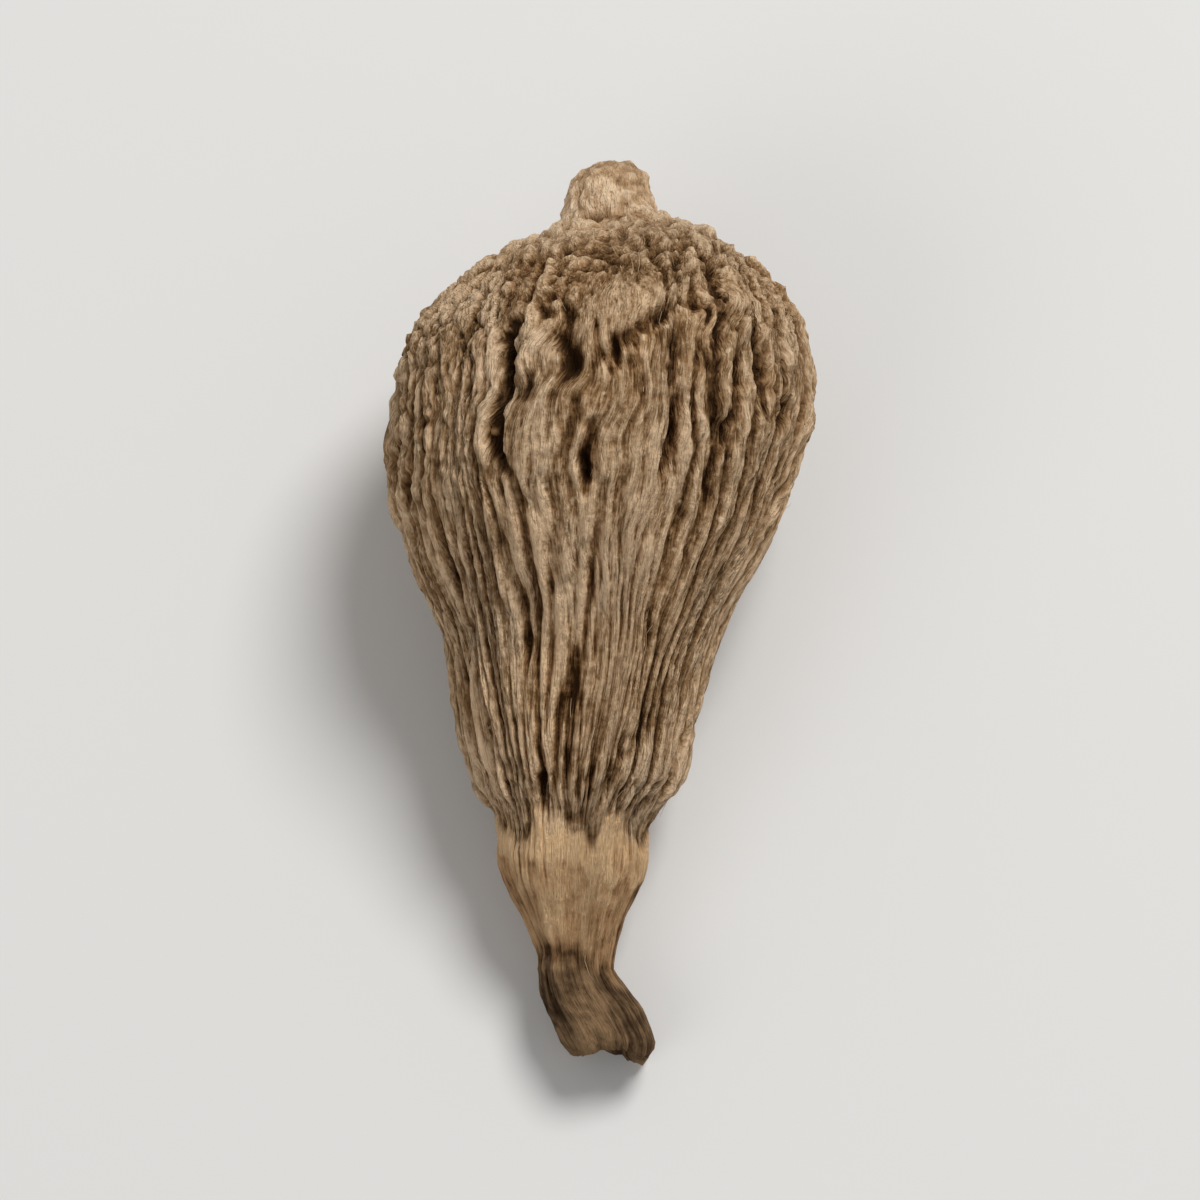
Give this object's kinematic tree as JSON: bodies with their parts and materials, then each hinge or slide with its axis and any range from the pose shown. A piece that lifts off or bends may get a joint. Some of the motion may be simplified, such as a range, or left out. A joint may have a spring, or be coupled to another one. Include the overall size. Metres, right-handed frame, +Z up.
{
  "type": "black cardamom pod",
  "caption": "Dried black cardamom pod: a pear-shaped, ribbed brown husk with a stalk knob on its broad end and a smooth, bent calyx neck, used whole as a spice.",
  "frame": {"origin": "middle of the pod's bounding box, on the surface that it lies on", "axes": "+Y along the pod towards the stalk knob, +Z up from the flat spot, +X to the right with the neck towards the viewer"},
  "size_m": [0.0142, 0.0298, 0.0138],
  "materials": {
    "husk": "matte, dry and fibrous, with pale rib crests and dark furrows"
  },
  "bodies": {
    "root": {"pod": "husk"}
  },
  "joints": []
}
